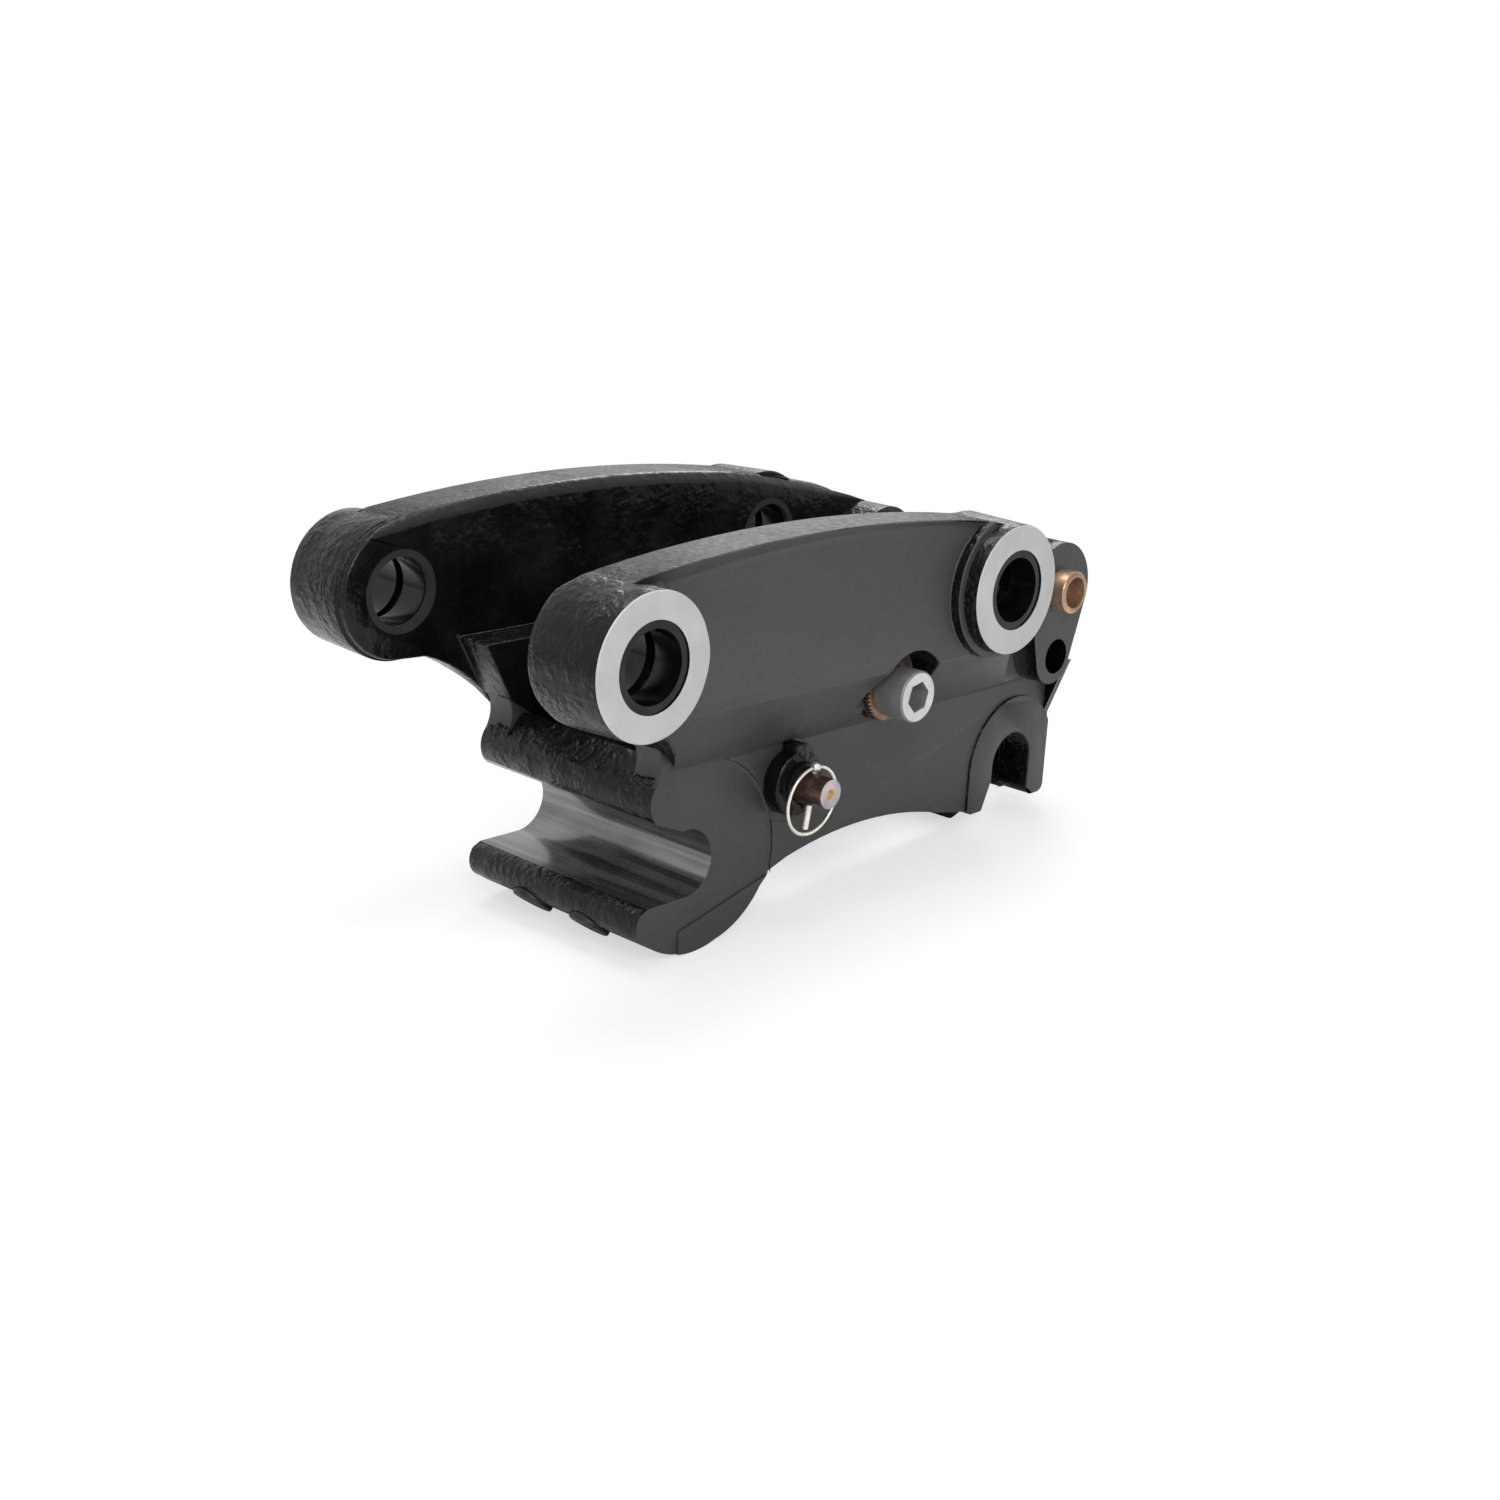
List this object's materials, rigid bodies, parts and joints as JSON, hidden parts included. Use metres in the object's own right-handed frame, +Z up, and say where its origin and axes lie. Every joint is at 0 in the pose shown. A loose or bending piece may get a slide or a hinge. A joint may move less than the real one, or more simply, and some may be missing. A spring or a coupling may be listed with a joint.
{
  "type": "excavator quick hitch",
  "caption": "Quick hitch for an excavator: two cast cheeks with pin bosses, an open front jaw, a sprung rear latch and a removable locking pin.",
  "frame": {"origin": "middle of the dipper pin line, halfway between the cheeks", "axes": "+X to the rear (towards the latch), +Y to the right along the dipper pin, +Z up with the hitch standing on its front jaw and on the latch's heel"},
  "size_m": [0.531, 0.29, 0.2776],
  "materials": {
    "painted_casting": "satin charcoal paint over cast steel",
    "machined_casting": "milled jaw faces, charcoal paint elsewhere",
    "wear_steel": "ground",
    "dark_steel": "oiled dark steel",
    "black_steel": "phosphated",
    "plated_washer": "yellow-brown plating",
    "zinc_wire": "bright zinc",
    "yellow_zinc": "yellow chromate over zinc",
    "bright_steel": "turned",
    "spring_steel": "black",
    "bush_steel": "hardened and ground",
    "seal_rubber": "matt",
    "bronze": "bearing bronze"
  },
  "bodies": {
    "frame": {"left_cheek": "painted_casting", "right_cheek": "painted_casting", "jaw_beam": "machined_casting", "jaw_welds": "painted_casting", "cross_web": "painted_casting", "lip_buttons": "wear_steel", "anchor_shaft": "dark_steel", "cap_screws": "black_steel", "lock_washers": "plated_washer", "left_pin_collar": "painted_casting", "right_pin_collar": "painted_casting", "latch_pivot_pin": "yellow_zinc", "pivot_dowels": "zinc_wire", "left_dipper_outer_bush": "bush_steel", "left_dipper_inner_bush": "bush_steel", "left_link_outer_bush": "bush_steel", "left_link_inner_bush": "bush_steel", "right_dipper_outer_bush": "bush_steel", "right_dipper_inner_bush": "bush_steel", "right_link_outer_bush": "bush_steel", "right_link_inner_bush": "bush_steel", "left_dipper_seal": "seal_rubber", "left_link_seal": "seal_rubber", "right_dipper_seal": "seal_rubber", "right_link_seal": "seal_rubber", "left_thrust_ring": "bronze", "right_thrust_ring": "bronze"},
    "latch": {"latch": "painted_casting", "left_latch_bush": "bronze", "right_latch_bush": "bronze"},
    "yoke": {"strut_yoke": "dark_steel", "latch_spring": "spring_steel"},
    "rod": {"strut_rod": "bright_steel", "preload_nuts": "bright_steel"},
    "locking_pin": {"locking_pin": "dark_steel"},
    "linch_pin": {"linch_pin": "zinc_wire"},
    "linch_ring": {"linch_ring": "zinc_wire"}
  },
  "joints": [
    {"name": "latch_swing", "type": "hinge", "parent": "frame", "child": "latch", "pos_m": [0.44907, 0, -0.04621], "axis": [0, 1, 0], "range_deg": [0, 14], "stiffness_Nm_per_rad": 870, "springref_deg": -3.72},
    {"name": "yoke_swing", "type": "hinge", "parent": "frame", "child": "yoke", "pos_m": [0.26071, 0, -0.08131], "axis": [0, 1, 0], "range_deg": [-1.92, 0]},
    {"name": "rod_slide", "type": "slide", "parent": "yoke", "child": "rod", "axis": [0.8571, 0, -0.5152], "range_m": [-0.0307, 0], "deforming": ["latch_spring"]},
    {"name": "pin_float", "type": "slide", "parent": "frame", "child": "locking_pin", "axis": [0, 1, 0], "range_m": [0, 0.0009]},
    {"name": "linch_lift", "type": "slide", "parent": "locking_pin", "child": "linch_pin", "axis": [0.0576, -0.1392, 0.9886], "range_m": [0, 0.042]},
    {"name": "ring_swing", "type": "hinge", "parent": "linch_pin", "child": "linch_ring", "pos_m": [0.18058, -0.10862, -0.11565], "axis": [-0.9983, 0, 0.0582], "range_deg": [0, 95]}
  ],
  "couplings": [
    {"joint": "yoke_swing", "follows": "latch_swing", "ratio": -0.13676},
    {"joint": "rod_slide", "follows": "latch_swing", "m_per_rad": -0.12561},
    {"joint": "linch_lift", "follows": "ring_swing", "m_per_rad": 0.025331}
  ]
}
